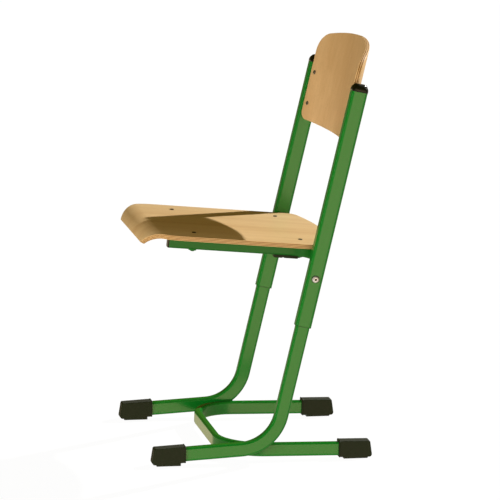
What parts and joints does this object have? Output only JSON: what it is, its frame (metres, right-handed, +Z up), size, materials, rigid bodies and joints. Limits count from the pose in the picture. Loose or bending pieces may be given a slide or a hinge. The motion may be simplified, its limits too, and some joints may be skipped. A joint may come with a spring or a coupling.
{
  "type": "height-adjustable school chair",
  "caption": "School chair: leaning steel tube uprights telescope over sled legs, with a rolled plywood seat, a curved plywood backrest and side clamp screws.",
  "frame": {"origin": "on the floor, under the centre of the chair's bounding box", "axes": "+Z up, the sitter faces -Y, +X is the sitter's left"},
  "size_m": [0.4566, 0.51, 0.888],
  "materials": {
    "green_paint": "semi-gloss powder coat",
    "beech_plywood": "clear satin lacquer",
    "foot_plastic": "fine textured",
    "gloss_cap": "gloss",
    "guide_plastic": "smooth",
    "bright_rivet": "nickel plated",
    "zinc_screw": "bright zinc plated",
    "dark_washer": "smooth",
    "plain_steel": "oiled"
  },
  "bodies": {
    "base": {"left_leg_tube": "green_paint", "right_leg_tube": "green_paint", "rear_brace_tube": "green_paint", "front_left_foot_cap": "foot_plastic", "front_right_foot_cap": "foot_plastic", "rear_left_foot_cap": "foot_plastic", "rear_right_foot_cap": "foot_plastic", "left_leg_top_plug": "guide_plastic", "right_leg_top_plug": "guide_plastic"},
    "seat_frame": {"left_upright_tube": "green_paint", "right_upright_tube": "green_paint", "left_upright_end_cap": "gloss_cap", "right_upright_end_cap": "gloss_cap", "left_seat_rail": "green_paint", "right_seat_rail": "green_paint", "seat_cross_tube": "green_paint", "left_rail_end_cap": "gloss_cap", "right_rail_end_cap": "gloss_cap", "left_stacking_guard": "foot_plastic", "right_stacking_guard": "foot_plastic", "seat": "beech_plywood", "front_seat_rivets": "bright_rivet", "rear_seat_rivets": "bright_rivet", "seat_rivet_washers": "green_paint", "backrest": "beech_plywood", "left_backrest_bracket": "green_paint", "right_backrest_bracket": "green_paint", "backrest_rivets": "bright_rivet", "left_nut_plate": "plain_steel", "right_nut_plate": "plain_steel"},
    "left_washer": {"left_clamp_washer": "dark_washer"},
    "left_screw": {"left_clamp_screw": "zinc_screw"},
    "right_washer": {"right_clamp_washer": "dark_washer"},
    "right_screw": {"right_clamp_screw": "zinc_screw"}
  },
  "joints": [
    {"name": "height_adjust", "type": "slide", "parent": "base", "child": "seat_frame", "axis": [0, 0.2164, 0.9763], "range_m": [-0.0615, 0.018]},
    {"name": "left_washer_travel", "type": "slide", "parent": "seat_frame", "child": "left_washer", "axis": [1, 0, 0], "range_m": [0, 0.0063]},
    {"name": "left_screw_turn", "type": "hinge", "parent": "left_washer", "child": "left_screw", "pos_m": [0.2241, 0.10755, 0.39998], "axis": [1, 0, 0], "range_deg": [0, 1800]},
    {"name": "right_washer_travel", "type": "slide", "parent": "seat_frame", "child": "right_washer", "axis": [-1, 0, 0], "range_m": [0, 0.0063]},
    {"name": "right_screw_turn", "type": "hinge", "parent": "right_washer", "child": "right_screw", "pos_m": [-0.2241, 0.10755, 0.39998], "axis": [-1, 0, 0], "range_deg": [0, 1800]}
  ],
  "couplings": [
    {"joint": "left_washer_travel", "follows": "left_screw_turn", "m_per_rad": 0.00019894},
    {"joint": "right_washer_travel", "follows": "right_screw_turn", "m_per_rad": 0.00019894}
  ]
}
